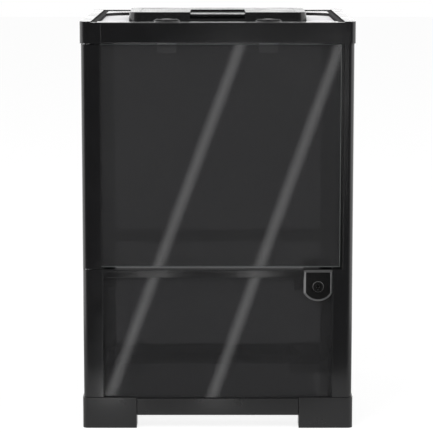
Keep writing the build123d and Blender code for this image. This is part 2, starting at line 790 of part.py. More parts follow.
# Hatch lid: a plate with a round rear edge, a coffer beneath, and a finger recess with a tab
with BuildPart() as hatch_lid:
    with BuildSketch(Plane.YZ.offset(-lid_x)):
        with BuildLine():
            Polyline(
                (hatch_pivot_y, lid_bottom), (lid_low, lid_bottom), (lid_low, ring_top),
                (hatch_pivot_y, ring_top),
            )
            ThreePointArc(
                (hatch_pivot_y, lid_bottom),
                (hatch_pivot_y + lid_thickness / 2, hatch_pivot_z),
                (hatch_pivot_y, ring_top),
            )
        make_face()
    extrude(amount=2 * lid_x)
    finger_x = notch_width / 2 - lid_gap
    recess_floor = ring_top - recess_depth
    block((-finger_x, finger_x), (lid_low - tab_reach, lid_low), (lid_bottom + tab_rise, recess_floor))
    block(
        (-finger_x, finger_x),
        (lid_low, lid_low + recess_length),
        (recess_floor, ring_top),
        mode=Mode.SUBTRACT,
    )
    coffer_x = (lid_x - finger_x) / 2 - coffer_rib
    coffer_y = (hatch_pivot_y - lid_thickness - lid_low) / 2 - coffer_rib
    with BuildSketch(Plane.XY.offset(lid_bottom)):
        with Locations(*[(s * (lid_x + finger_x) / 2, lid_low + coffer_rib + coffer_y) for s in (-1, 1)]):
            Rectangle(2 * coffer_x, 2 * coffer_y)
    extrude(amount=coffer_depth, mode=Mode.SUBTRACT)
    for side in (-1, 1):
        with BuildSketch(Plane.YZ.offset(side * lid_x)):
            with Locations((hatch_pivot_y, hatch_pivot_z)):
                Circle(hatch_pin_radius + running_gap)
        extrude(amount=-side * (hatch_pin_bite + fit_gap), mode=Mode.SUBTRACT)
save(hatch_lid.part, "hatch_lid")

with BuildPart() as hatch_pins:
    for side in (-1, 1):
        with BuildSketch(Plane.YZ.offset(side * (lid_x - hatch_pin_bite))):
            with Locations((hatch_pivot_y, hatch_pivot_z)):
                Circle(hatch_pin_radius)
        extrude(amount=side * hatch_pin_length)
save(hatch_pins.part, "hatch_pins")

# Screen: a sheet under the plate, open under the hatch, with a grid of gaps round it
with BuildPart() as cover_mesh:
    with BuildSketch(Plane.XY.offset(plate_bottom - mesh_thickness)):
        window_rectangle(mesh_lap)
        with Locations((0, (mouth_low + mouth_high) / 2)):
            Rectangle(2 * mouth_x, mouth_high - mouth_low, mode=Mode.SUBTRACT)
    extrude(amount=mesh_thickness)
    columns = int((window_x - mesh_bar) * 2 // mesh_pitch)
    rows = int((window_high - window_low - 2 * mesh_bar) // mesh_pitch)
    gap = mesh_pitch - mesh_bar
    middle_y = (window_low + window_high) / 2
    corner_reach = window_round_back / 2
    gap_places = []
    for column in range(columns):
        for row in range(rows):
            x = (column - (columns - 1) / 2) * mesh_pitch
            y = middle_y + (row - (rows - 1) / 2) * mesh_pitch
            beside_ring = abs(x) > (hatch_width + gap) / 2
            beyond_ring = abs(y - ring_middle) > (hatch_depth + gap) / 2
            in_corner = abs(x) > window_x - corner_reach and y > window_high - corner_reach
            if (beside_ring or beyond_ring) and not in_corner:
                gap_places.append((x, y))
    with BuildSketch(Plane.XY.offset(plate_bottom - mesh_thickness)):
        with Locations(*gap_places):
            Rectangle(gap, gap)
    extrude(amount=mesh_thickness, mode=Mode.SUBTRACT)
save(cover_mesh.part, "cover_mesh")


def latch_knob(x, y):
    """A round knob with a hub and a grip bar, on a shaft with a square end."""
    knob_top = cover_top + knob_thickness
    shaft_end = slot_bottom + (keeper_slot + tongue_thickness) / 2
    tongue_low = shaft_end - tongue_thickness
    with BuildSketch(Plane.XZ.offset(-y)) as half:
        with BuildLine():
            Polyline(
                (x, shaft_end), (x + shaft_radius, shaft_end), (x + shaft_radius, cover_top),
                (x + knob_radius, cover_top), (x + knob_radius, knob_top), (x + hub_radius, knob_top),
                (x + hub_radius, knob_top + hub_height), (x, knob_top + hub_height), close=True,
            )
        make_face()
        fillet(half.vertices().sort_by(Axis.X)[-2:].sort_by(Axis.Y)[-1], knob_round)
    revolve(half.sketch, axis=Axis((x, y, 0), (0, 0, 1)))
    with BuildSketch(Plane.XY.offset(knob_top)) as grip:
        with Locations((x, y)):
            SlotOverall(grip_length, grip_width)
    extrude(grip.sketch, amount=grip_height)
    with BuildSketch(Plane.XY.offset(tongue_low)) as square:
        with Locations((x, y)):
            Rectangle(tongue_square, tongue_square)
    extrude(square.sketch, amount=tongue_thickness)


def latch_tongue(x, y, side):
    """A short arm with a round tip, which points sideways when the latch is open."""
    shaft_end = slot_bottom + (keeper_slot + tongue_thickness) / 2
    with BuildSketch(Plane.XY.offset(shaft_end - tongue_thickness)) as arm:
        with Locations((x, y)):
            Circle(shaft_radius)
        with Locations((x + side * (tongue_reach - shaft_radius) / 2, y)):
            Rectangle(tongue_reach - shaft_radius, 2 * shaft_radius)
        with Locations((x + side * (tongue_reach - shaft_radius), y)):
            Circle(shaft_radius)
        with Locations((x, y)):
            Rectangle(tongue_square + 2 * running_gap, tongue_square + 2 * running_gap, mode=Mode.SUBTRACT)
    extrude(arm.sketch, amount=tongue_thickness)


def latch_keeper(x, sy):
    """A block under the top rail, slotted from the inside for the tongue; it also stops the door."""
    keeper_out = pane_in_y - fit_gap
    keeper_in = keeper_out - keeper_depth
    with BuildSketch(Plane.YZ.offset(x - keeper_width / 2)) as profile:
        with BuildLine():
            Polyline(
                (sy * keeper_out, band_bottom), (sy * keeper_in, band_bottom), (sy * keeper_in, slot_top),
                (sy * (keeper_out - keeper_wall), slot_top), (sy * (keeper_out - keeper_wall), slot_bottom),
                (sy * keeper_in, slot_bottom), (sy * keeper_in, keeper_bottom),
                (sy * keeper_out, keeper_bottom), close=True,
            )
        make_face()
    extrude(profile.sketch, amount=keeper_width)


for end_name, sy in (("front", -1), ("back", 1)):
    for side_name, sx in (("left", -1), ("right", 1)):
        with BuildPart() as knob:
            latch_knob(sx * latch_x, sy * latch_y)
        save(knob.part, f"latch_knob_{end_name}_{side_name}")
        with BuildPart() as tongue:
            latch_tongue(sx * latch_x, sy * latch_y, sy)
        save(tongue.part, f"latch_tongue_{end_name}_{side_name}")
        with BuildPart() as keeper:
            latch_keeper(sx * latch_x, sy)
        save(keeper.part, f"latch_keeper_{end_name}_{side_name}")

# Cable plugs
for plug_name, x in zip(("cable_plug_left", "cable_plug_right"), plug_x):
    with BuildPart() as plug:
        with BuildSketch(Plane.XZ.offset(-plug_y)) as half:
            with BuildLine():
                Polyline(
                    (x, cover_top - plug_length),
                    (x + plug_radius - plug_tip_narrow, cover_top - plug_length),
                    (x + plug_radius, cover_top - plug_length + plug_tip), (x + plug_radius, cover_top),
                    (x + plug_flange_radius, cover_top), (x + plug_flange_radius, cover_top + plug_flange),
                    (x, cover_top + plug_flange), close=True,
                )
            make_face()
            fillet(half.vertices().sort_by(Axis.X)[-2:].sort_by(Axis.Y)[-1], plug_round)
        revolve(axis=Axis((x, plug_y, 0), (0, 0, 1)))
    save(plug.part, plug_name)
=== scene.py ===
import math

import bpy
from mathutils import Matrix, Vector


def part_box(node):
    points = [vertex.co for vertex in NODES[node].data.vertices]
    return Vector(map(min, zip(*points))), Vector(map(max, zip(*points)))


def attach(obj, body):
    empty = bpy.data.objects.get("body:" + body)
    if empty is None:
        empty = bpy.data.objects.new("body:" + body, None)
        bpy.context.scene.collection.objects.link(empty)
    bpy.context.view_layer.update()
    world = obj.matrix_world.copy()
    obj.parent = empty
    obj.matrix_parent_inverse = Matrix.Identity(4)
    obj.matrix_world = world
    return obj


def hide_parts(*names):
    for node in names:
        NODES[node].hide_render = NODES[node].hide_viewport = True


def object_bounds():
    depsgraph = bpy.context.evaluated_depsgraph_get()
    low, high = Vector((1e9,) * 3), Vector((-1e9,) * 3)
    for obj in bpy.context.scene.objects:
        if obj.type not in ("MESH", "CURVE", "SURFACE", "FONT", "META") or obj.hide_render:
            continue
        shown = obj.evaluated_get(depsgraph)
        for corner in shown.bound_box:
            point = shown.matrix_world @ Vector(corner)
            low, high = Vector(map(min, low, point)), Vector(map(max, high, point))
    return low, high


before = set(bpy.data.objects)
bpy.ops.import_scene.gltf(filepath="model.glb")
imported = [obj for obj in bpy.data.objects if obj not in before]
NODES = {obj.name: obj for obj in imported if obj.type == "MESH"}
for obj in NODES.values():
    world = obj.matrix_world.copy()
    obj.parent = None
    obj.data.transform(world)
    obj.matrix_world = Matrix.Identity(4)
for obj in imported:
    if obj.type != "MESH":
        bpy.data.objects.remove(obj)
cad_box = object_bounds()

WHITE = (1.0, 1.0, 1.0, 1.0)
TANK_FRONT = cad_box[0].y

# Camera, in front of the tank and a little above its top
CAMERA_DISTANCE = 1.482         # from the front of the tank
CAMERA_HEIGHT = 0.378
CAMERA_TILT = 8.42              # degrees below the horizon
CAMERA_LENS = 170.4             # millimetres
CAMERA_SENSOR = 36.0            # millimetres
CAMERA_SIDE_SHIFT = -0.0028
CAMERA_REACH = 50.0

# Woven screen
MESH_PITCH = 0.0018
WIRE_RADIUS = 0.00015
RING_OVERLAP = 0.004            # the wires end this far under the hatch ring

# Where most of a noise value lies
NOISE_LOW = 0.3
NOISE_HIGH = 0.7

# Faces told apart by their normal, a vector of length 1
ASIDE_BELOW = 0.9               # away from an axis: its part along the axis is below this
UP_ABOVE = 0.5                  # up: its upward part is above this

# Plastic
EDGE_SOFTNESS = 0.0005          # radius that shading gives to sharp edges
BORDER_START = 0.0880           # the cover's grained side borders, from its middle
BORDER_FADE = 0.0004

# Glass
GLASS_GLOSS = 0.0075            # share of light that a face mirrors straight on
GLASS_DAYLIGHT = 0.8            # share of the light from outside that fills the tank
GRAZING_POWER = 5.0             # how steeply gloss grows towards a grazing angle

# Lamps, world and floor
LAMP_SIZE = 1.2
LAMP_AIM = (0.0, 0.0, 0.1)
KEY_PLACE = (-0.9, -1.3, 1.9)
KEY_POWER = 26.0
FILL_PLACE = (1.3, -0.6, 1.6)
FILL_POWER = 12.0
SKY_LIGHT = 0.55                # the world's strength where it lights the object
FLOOR_SIZE = 12.0
FLOOR_GLOW = 0.86               # the floor as it is seen: its own light,
FLOOR_PAINT = 0.20              # and paint that takes the shadow
FLOOR_COLOUR = 0.80             # the floor where it lights the object

# What gloss shows: a room by direction, a table and soft boxes
ROOM_DIM = 0.12
ROOM_FROM = -0.97               # dim where a direction's y is below this,
ROOM_TO = -0.45                 # and white where it is above this
OVERHEAD_FROM = 0.3             # a direction's z, from which the room turns white
OVERHEAD_TO = 0.75
TABLE_GLOSS = 0.8
TABLE_FRONT = 0.277             # the table's front edge, from the tank's middle
TABLE_FRONT_FADE = 0.006
TABLE_CLEAR = 0.076             # half the width of the table's dark middle,
TABLE_NEAR = 0.196              # which starts this far from the tank's middle
TABLE_FADE = 0.004
BACK_PANEL_WIDTH = 4.0
BACK_PANEL_HEIGHT = 0.61
BACK_PANEL_AWAY = 3.4
BACK_PANEL_FOOT = 0.01
BACK_PANEL_STRENGTH = 2.0
SIDE_PANEL_AWAY = 0.45
SIDE_PANEL_MIDDLE = 0.25        # the y of the side panels' middle
SIDE_PANEL_LENGTH = 1.2
SIDE_PANEL_HEIGHT = 0.6
SIDE_PANEL_FOOT = 0.002
LEFT_PANEL_STRENGTH = 2.4
RIGHT_PANEL_STRENGTH = 2.0

# Light strips, which the door shows as slanted streaks
STREAK_FAR = 1.4                # from the door at their top
STREAK_NEAR = 0.07              # and at their foot
STREAK_TOP = 0.2848             # heights of the image's ends on the door
STREAK_FOOT = 0.022
LEFT_STREAK = (0.0168, -0.0805)     # x of the image's top and foot
RIGHT_STREAK = (0.0890, -0.0045)
STREAK_WIDTH = 0.0068           # half the width of the image
STREAK_STEPS = 24
STREAK_STRENGTH = 8.7


def links(tree, *pairs):
    """Join node sockets, given as (from, to) pairs."""
    for start, end in pairs:
        tree.links.new(start, end)


def new_material(name):
    """An empty node material, with its tree and its output node."""
    material = bpy.data.materials.new(name)
    material.use_nodes = True
    tree = material.node_tree
    tree.nodes.clear()
    return material, tree, tree.nodes.new("ShaderNodeOutputMaterial")


def rgba(grey):
    """An opaque grey."""
    return (grey, grey, grey, 1.0)


def one_axis(tree, coordinate, axis):
    """One axis of a texture coordinate."""
    place = tree.nodes.new("ShaderNodeTexCoord")
    apart = tree.nodes.new("ShaderNodeSeparateXYZ")
    links(tree, (place.outputs[coordinate], apart.inputs["Vector"]))
    return apart.outputs[axis]


def noise(tree, scale, detail=3.0, stretch=(1.0, 1.0, 1.0)):
    """A noise value over the object's own coordinates, in metres."""
    place = tree.nodes.new("ShaderNodeTexCoord")
    mapping = tree.nodes.new("ShaderNodeMapping")
    mapping.inputs["Scale"].default_value = stretch
    texture = tree.nodes.new("ShaderNodeTexNoise")
    texture.inputs["Scale"].default_value = scale
    texture.inputs["Detail"].default_value = detail
    links(
        tree,
        (place.outputs["Object"], mapping.inputs["Vector"]),
        (mapping.outputs["Vector"], texture.inputs["Vector"]),
    )
    return texture.outputs["Fac"]


def spread(tree, value, low, high):
    """Map a noise value to a range, by its middle stretch."""
    node = tree.nodes.new("ShaderNodeMapRange")
    node.inputs["From Min"].default_value = NOISE_LOW
    node.inputs["From Max"].default_value = NOISE_HIGH
    node.inputs["To Min"].default_value = low
    node.inputs["To Max"].default_value = high
    links(tree, (value, node.inputs["Value"]))
    return node.outputs["Result"]


def colour_between(tree, value, dark, light):
    """A colour that varies between two by a noise value."""
    node = tree.nodes.new("ShaderNodeMix")
    node.data_type = "RGBA"
    node.inputs["A"].default_value = (*dark, 1.0)
    node.inputs["B"].default_value = (*light, 1.0)
    links(tree, (spread(tree, value, 0.0, 1.0), node.inputs["Factor"]))
    return node.outputs["Result"]


def ramp_between(tree, value, low, high, rising=True):
    """A soft step from 0 to 1, or from 1 to 0, as a value passes from low to high."""
    node = tree.nodes.new("ShaderNodeMapRange")
    node.interpolation_type = "SMOOTHSTEP"
    node.inputs["From Min"].default_value = low
    node.inputs["From Max"].default_value = high
    node.inputs["To Min"].default_value = 0.0 if rising else 1.0
    node.inputs["To Max"].default_value = 1.0 if rising else 0.0
    links(tree, (value, node.inputs["Value"]))
    return node.outputs["Result"]


def calculate(tree, operation, *values):
    """One Math node on sockets or plain numbers."""
    node = tree.nodes.new("ShaderNodeMath")
    node.operation = operation
    for slot, value in zip(node.inputs, values):
        if isinstance(value, (int, float)):
            slot.default_value = value
        else:
            links(tree, (value, slot))
    return node.outputs["Value"]


def either_ray(tree, first, second):
    """1 for rays of either of two kinds, and 0 for the others."""
    path = tree.nodes.new("ShaderNodeLightPath")
    return calculate(tree, "MAXIMUM", path.outputs[first], path.outputs[second])


def moulded_plastic(name, colour, roughness, grain, grain_depth):
    """Moulded plastic: fine grain, softened edges, uneven gloss and a slightly uneven colour."""
    material, tree, output = new_material(name)
    shader = tree.nodes.new("ShaderNodeBsdfPrincipled")
    dark = [c * 0.85 for c in colour]
    light = [c * 1.15 for c in colour]
    edge = tree.nodes.new("ShaderNodeBevel")
    edge.samples = 4
    edge.inputs["Radius"].default_value = EDGE_SOFTNESS
    bump = tree.nodes.new("ShaderNodeBump")
    bump.inputs["Strength"].default_value = 1.0
    bump.inputs["Distance"].default_value = grain_depth
    gloss = spread(tree, noise(tree, scale=70.0), roughness * 0.85, roughness * 1.2)
    links(
        tree,
        (colour_between(tree, noise(tree, scale=35.0), dark, light), shader.inputs["Base Color"]),
        (gloss, shader.inputs["Roughness"]),
        (noise(tree, grain, detail=2.0), bump.inputs["Height"]),
        (edge.outputs["Normal"], bump.inputs["Normal"]),
        (bump.outputs["Normal"], shader.inputs["Normal"]),
        (shader.outputs["BSDF"], output.inputs["Surface"]),
    )
    return material


def metal(name, colour, roughness, brushed=(1.0, 1.0, 1.0), metallic=1.0):
    """Plated or drawn metal; brushed stretches its fine marks along an axis."""
    material, tree, output = new_material(name)
    shader = tree.nodes.new("ShaderNodeBsdfPrincipled")
    shader.inputs["Metallic"].default_value = metallic
    dark = [c * 0.9 for c in colour]
    lines = noise(tree, scale=900.0, detail=2.0, stretch=brushed)
    links(
        tree,
        (colour_between(tree, noise(tree, scale=120.0), dark, colour), shader.inputs["Base Color"]),
        (spread(tree, lines, roughness * 0.8, roughness * 1.25), shader.inputs["Roughness"]),
        (shader.outputs["BSDF"], output.inputs["Surface"]),
    )
    return material


def grained_border(glossy):
    """The cover's plastic, a glossy one that is grained and matte on the side borders."""
    material = glossy.copy()
    material.name = "cover_black"
    tree = material.node_tree
    output = next(node for node in tree.nodes if node.type == "OUTPUT_MATERIAL")
    smooth = output.inputs["Surface"].links[0].from_socket
    aside = calculate(tree, "ABSOLUTE", one_axis(tree, "Object", "X"))
    grain = colour_between(tree, noise(tree, scale=900.0), (0.004,) * 3, (0.05,) * 3)
    matte = tree.nodes.new("ShaderNodeBsdfPrincipled")
    matte.inputs["Roughness"].default_value = 0.75
    matte.inputs["Specular IOR Level"].default_value = 0.15
    both = tree.nodes.new("ShaderNodeMixShader")
    links(
        tree,
        (grain, matte.inputs["Base Color"]),
        (ramp_between(tree, aside, BORDER_START, BORDER_START + BORDER_FADE), both.inputs["Fac"]),
        (smooth, both.inputs[1]),
        (matte.outputs["BSDF"], both.inputs[2]),
        (both.outputs["Shader"], output.inputs["Surface"]),
    )
    return material


def looks_aside(tree, axis):
    """1 on faces that look well away from an axis of the object, and 0 on the others."""
    along = calculate(tree, "ABSOLUTE", one_axis(tree, "Normal", axis))
    return calculate(tree, "LESS_THAN", along, ASIDE_BELOW)


def looks_up(tree):
    """1 on faces that look well up along the object's height, and 0 on the others."""
    return calculate(tree, "GREATER_THAN", one_axis(tree, "Normal", "Z"), UP_ABOVE)


def black_with_painted_highlight(name, painted_top_dimming):
    """A satin black plate whose bevel round its face carries a painted highlight in light grey; on
    faces that look up, the painted highlight is dimmed by a share as painted shade.
    """
    material, tree, output = new_material(name)
    # On faces that look up, the painted highlight is dimmed by a share: painted shade on the top
    top_dimmed_share = calculate(tree, "MULTIPLY", looks_up(tree), painted_top_dimming)
    undimmed_share = calculate(tree, "SUBTRACT", 1.0, top_dimmed_share)
    # Faces that look away from the plate's depth, its bevels, get a painted highlight
    painted_highlight_mask = calculate(tree, "MULTIPLY", looks_aside(tree, "Y"), undimmed_share)
    black = colour_between(tree, noise(tree, scale=60.0), (0.003,) * 3, (0.005,) * 3)
    # Light grey painted on the bevels as a highlight
    painted_highlight_grey = colour_between(tree, noise(tree, scale=400.0), (0.15,) * 3, (0.19,) * 3)
    plate = tree.nodes.new("ShaderNodeBsdfPrincipled")
    plate.inputs["Specular IOR Level"].default_value = 0.3
    bevel = tree.nodes.new("ShaderNodeBsdfPrincipled")
    bevel.inputs["Metallic"].default_value = 0.5
    whole = tree.nodes.new("ShaderNodeMixShader")
    links(
        tree,
        (black, plate.inputs["Base Color"]),
        (spread(tree, noise(tree, scale=90.0), 0.18, 0.26), plate.inputs["Roughness"]),
        (painted_highlight_grey, bevel.inputs["Base Color"]),
        (spread(tree, noise(tree, scale=600.0), 0.35, 0.45), bevel.inputs["Roughness"]),
        (painted_highlight_mask, whole.inputs["Fac"]),
        (plate.outputs["BSDF"], whole.inputs[1]),
        (bevel.outputs["BSDF"], whole.inputs[2]),
        (whole.outputs["Shader"], output.inputs["Surface"]),
    )
    return material


def facing_gloss(tree, straight_on):
    """The share of light that a face mirrors: little straight on, all of it at a grazing angle."""
    facing = tree.nodes.new("ShaderNodeLayerWeight")
    facing.inputs["Blend"].default_value = 0.5
    power = calculate(tree, "POWER", facing.outputs["Facing"], GRAZING_POWER)
    ramp = tree.nodes.new("ShaderNodeMapRange")
    ramp.inputs["To Min"].default_value = straight_on
    ramp.inputs["To Max"].default_value = 1.0
    links(tree, (power, ramp.inputs["Value"]))
    return ramp.outputs["Result"]


def smoked_glass(name, tint, film, edge_axis=None):
    """Smoked glass: a face lets a tinted share through, mirrors a little and has a film of dust.

    The light that fills the tank comes in brighter than what is seen through the tint. With an
    edge_axis, faces that look away from that axis are the pane's ground edges.
    """
    material, tree, output = new_material(name)
    clear = tree.nodes.new("ShaderNodeBsdfTransparent")
    clear.inputs["Color"].default_value = (*tint, 1.0)
    daylight = tree.nodes.new("ShaderNodeBsdfTransparent")
    daylight.inputs["Color"].default_value = rgba(GLASS_DAYLIGHT)
    passed = tree.nodes.new("ShaderNodeMixShader")
    dust = tree.nodes.new("ShaderNodeBsdfDiffuse")
    dust.inputs["Color"].default_value = (0.80, 0.80, 0.82, 1.0)
    mirror = tree.nodes.new("ShaderNodeBsdfGlossy")
    mirror.inputs["Roughness"].default_value = 0.0
    mirror.inputs["Color"].default_value = WHITE
    dusty = spread(tree, noise(tree, scale=9.0, detail=5.0), film * 0.95, film * 1.05)
    body = tree.nodes.new("ShaderNodeMixShader")
    face = tree.nodes.new("ShaderNodeMixShader")
    links(
        tree,
        (either_ray(tree, "Is Shadow Ray", "Is Diffuse Ray"), passed.inputs["Fac"]),
        (clear.outputs["BSDF"], passed.inputs[1]),
        (daylight.outputs["BSDF"], passed.inputs[2]),
        (dusty, body.inputs["Fac"]),
        (passed.outputs["Shader"], body.inputs[1]),
        (dust.outputs["BSDF"], body.inputs[2]),
        (facing_gloss(tree, GLASS_GLOSS), face.inputs["Fac"]),
        (body.outputs["Shader"], face.inputs[1]),
        (mirror.outputs["BSDF"], face.inputs[2]),
    )
    if edge_axis is None:
        links(tree, (face.outputs["Shader"], output.inputs["Surface"]))
        return material
    ground = tree.nodes.new("ShaderNodeBsdfPrincipled")
    ground.inputs["Roughness"].default_value = 0.35
    whole = tree.nodes.new("ShaderNodeMixShader")
    grey = colour_between(tree, noise(tree, scale=300.0), (0.15, 0.165, 0.16), (0.21, 0.225, 0.22))
    links(
        tree,
        (grey, ground.inputs["Base Color"]),
        (looks_aside(tree, edge_axis), whole.inputs["Fac"]),
        (face.outputs["Shader"], whole.inputs[1]),
        (ground.outputs["BSDF"], whole.inputs[2]),
        (whole.outputs["Shader"], output.inputs["Surface"]),
    )
    return material


def dress(name, material):
    """Give a CAD node a material."""
    slots = NODES[name].material_slots
    if not slots:
        NODES[name].data.materials.append(material)
    for slot in slots:
        slot.material = material


def mesh_piece(name, vertices, faces, material):
    """A mesh object with flat faces, from plain lists."""
    mesh = bpy.data.meshes.new(name)
    mesh.from_pydata(vertices, [], faces)
    mesh.materials.append(material)
    mesh.update()
    piece = bpy.data.objects.new(name, mesh)
    bpy.context.collection.objects.link(piece)
    return piece


def add_wire(vertices, faces, points, along):
    """A thin square-section wire through points; along is the axis that it runs in (0 or 1)."""
    start = len(vertices)
    across = 1 - along
    for point in points:
        for side, lift in ((-1, 0), (0, -1), (1, 0), (0, 1)):
            corner = list(point)
            corner[across] += side * WIRE_RADIUS
            corner[2] += lift * WIRE_RADIUS
            vertices.append(corner)
    for k in range(len(points) - 1):
        ring = start + 4 * k
        for i in range(4):
            j = (i + 1) % 4
            face = (ring + i, ring + j, ring + 4 + j, ring + 4 + i)
            faces.append(face if along == 0 else face[::-1])
    first = (start, start + 1, start + 2, start + 3)
    last = tuple(v + 4 * (len(points) - 1) for v in first)
    faces.append(first[::-1] if along == 0 else first)
    faces.append(last if along == 0 else last[::-1])


def woven_screen(material):
    """The cover's screen: wires woven over and under each other, open under the feeding hatch."""
    low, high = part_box("cover_mesh")
    ring_low, ring_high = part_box("hatch_frame")
    middle = (low + high) / 2
    hole_low = [ring_low[a] + RING_OVERLAP for a in (0, 1)]
    hole_high = [ring_high[a] - RING_OVERLAP for a in (0, 1)]
    counts = [int((high[a] - low[a]) / MESH_PITCH) for a in (0, 1)]
    starts = [middle[a] - (counts[a] - 1) / 2 * MESH_PITCH for a in (0, 1)]
    vertices = []
    faces = []
    for along in (0, 1):
        across = 1 - along
        for line in range(counts[across]):
            where = starts[across] + line * MESH_PITCH
            meets_hole = hole_low[across] < where < hole_high[across]
            runs = [[], []]
            for step in range(counts[along]):
                point = [0.0, 0.0, 0.0]
                point[across] = where
                point[along] = starts[along] + step * MESH_PITCH
                over = 1 if (line + step + along) % 2 else -1
                point[2] = middle.z + over * WIRE_RADIUS
                if meets_hole and hole_low[along] < point[along] < hole_high[along]:
                    continue
                past_hole = meets_hole and point[along] > hole_low[along]
                runs[1 if past_hole else 0].append(point)
            for run in runs:
                if len(run) > 1:
                    add_wire(vertices, faces, run, along)
    screen = mesh_piece("woven_screen", vertices, faces, material)
    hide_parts("cover_mesh")
    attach(screen, "cover")


def dim_front(tree, vector):
    """A share of white by direction: the room in front is dim, the sides and the back are white."""
    unit = tree.nodes.new("ShaderNodeVectorMath")
    unit.operation = "NORMALIZE"
    apart = tree.nodes.new("ShaderNodeSeparateXYZ")
    room = tree.nodes.new("ShaderNodeMapRange")
    room.inputs["From Min"].default_value = ROOM_FROM
    room.inputs["From Max"].default_value = ROOM_TO
    room.inputs["To Min"].default_value = ROOM_DIM
    room.inputs["To Max"].default_value = 1.0
    links(
        tree,
        (vector, unit.inputs[0]),
        (unit.outputs["Vector"], apart.inputs["Vector"]),
        (apart.outputs["Y"], room.inputs["Value"]),
    )
    return room.outputs["Result"]


def by_ray(tree, shown, mirrored, lighting):
    """Three shader nodes as one: for the camera and through glass, for gloss, and for lighting."""
    path = tree.nodes.new("ShaderNodeLightPath")
    first = tree.nodes.new("ShaderNodeMixShader")
    second = tree.nodes.new("ShaderNodeMixShader")
    links(
        tree,
        (path.outputs["Is Glossy Ray"], first.inputs["Fac"]),
        (lighting.outputs[0], first.inputs[1]),
        (mirrored.outputs[0], first.inputs[2]),
        (either_ray(tree, "Is Camera Ray", "Is Transmission Ray"), second.inputs["Fac"]),
        (first.outputs["Shader"], second.inputs[1]),
        (shown.outputs[0], second.inputs[2]),
    )
    return second.outputs["Shader"]


def white_world():
    """White to the camera and through glass; gloss sees it white behind and dim in front."""
    world = bpy.data.worlds.new("studio")
    bpy.context.scene.world = world
    world.use_nodes = True
    tree = world.node_tree
    tree.nodes.clear()
    output = tree.nodes.new("ShaderNodeOutputWorld")
    place = tree.nodes.new("ShaderNodeTexCoord")
    soft = tree.nodes.new("ShaderNodeBackground")
    soft.inputs["Color"].default_value = WHITE
    soft.inputs["Strength"].default_value = SKY_LIGHT
    seen = tree.nodes.new("ShaderNodeBackground")
    seen.inputs["Color"].default_value = WHITE
    gloss = tree.nodes.new("ShaderNodeBackground")
    up = one_axis(tree, "Generated", "Z")
    overhead = ramp_between(tree, up, OVERHEAD_FROM, OVERHEAD_TO)
    room = calculate(tree, "MAXIMUM", dim_front(tree, place.outputs["Generated"]), overhead)
    sky = by_ray(tree, seen, gloss, soft)
    links(tree, (room, gloss.inputs["Strength"]), (sky, output.inputs["Surface"]))


def floor_material():
    """A white floor that keeps the object's shadow; gloss sees it dim past the table's edge."""
    material, tree, output = new_material("floor_white")
    glow = tree.nodes.new("ShaderNodeEmission")
    glow.inputs["Strength"].default_value = FLOOR_GLOW
    paint = tree.nodes.new("ShaderNodeBsdfDiffuse")
    paint.inputs["Color"].default_value = rgba(FLOOR_PAINT)
    both = tree.nodes.new("ShaderNodeAddShader")
    plain = tree.nodes.new("ShaderNodeBsdfDiffuse")
    plain.inputs["Color"].default_value = rgba(FLOOR_COLOUR)
    mirrored = tree.nodes.new("ShaderNodeEmission")
    place = tree.nodes.new("ShaderNodeTexCoord")
    links(
        tree,
        (glow.outputs["Emission"], both.inputs[0]),
        (paint.outputs["BSDF"], both.inputs[1]),
    )
    aside = calculate(tree, "ABSOLUTE", one_axis(tree, "Object", "X"))
    beside = ramp_between(tree, aside, TABLE_CLEAR, TABLE_CLEAR + TABLE_FADE)
    in_front = calculate(tree, "MULTIPLY", one_axis(tree, "Object", "Y"), -1.0)
    close = ramp_between(tree, in_front, TABLE_NEAR - TABLE_FADE, TABLE_NEAR, rising=False)
    edge = TABLE_FRONT - TABLE_FRONT_FADE, TABLE_FRONT + TABLE_FRONT_FADE
    on_table = ramp_between(tree, in_front, *edge, rising=False)
    white = calculate(tree, "MULTIPLY", calculate(tree, "MAXIMUM", beside, close), on_table)
    table = calculate(tree, "MULTIPLY", white, TABLE_GLOSS)
    room = calculate(tree, "MAXIMUM", dim_front(tree, place.outputs["Object"]), table)
    ground = by_ray(tree, both, mirrored, plain)
    links(tree, (room, mirrored.inputs["Strength"]), (ground, output.inputs["Surface"]))
    return material


def lit_for_gloss(name, strength, fade=None):
    """A light that only gloss shows; a fade attribute, 0 to 1, softens its edges."""
    material, tree, output = new_material(name)
    path = tree.nodes.new("ShaderNodeLightPath")
    light = tree.nodes.new("ShaderNodeEmission")
    light.inputs["Strength"].default_value = strength
    through = tree.nodes.new("ShaderNodeBsdfTransparent")
    mix = tree.nodes.new("ShaderNodeMixShader")
    share = path.outputs["Is Glossy Ray"]
    if fade:
        edge = tree.nodes.new("ShaderNodeAttribute")
        edge.attribute_name = fade
        soft = ramp_between(tree, edge.outputs["Fac"], 0.0, 1.0)
        share = calculate(tree, "MULTIPLY", share, soft)
    links(
        tree,
        (share, mix.inputs["Fac"]),
        (through.outputs["BSDF"], mix.inputs[1]),
        (light.outputs["Emission"], mix.inputs[2]),
        (mix.outputs["Shader"], output.inputs["Surface"]),
    )
    return material


def camera_place():
    """Where the camera stands."""
    return Vector((0.0, TANK_FRONT - CAMERA_DISTANCE, CAMERA_HEIGHT))


def mirrored_point(x, z, distance):
    """The point this far before the door whose image shows at a place on the door's front."""
    eye = camera_place()
    place = Vector((x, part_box("door_glass")[0].y, z))
    ray = (place - eye) / (place.y - eye.y)
    return place + Vector((ray.x, -1.0, ray.z)) * distance


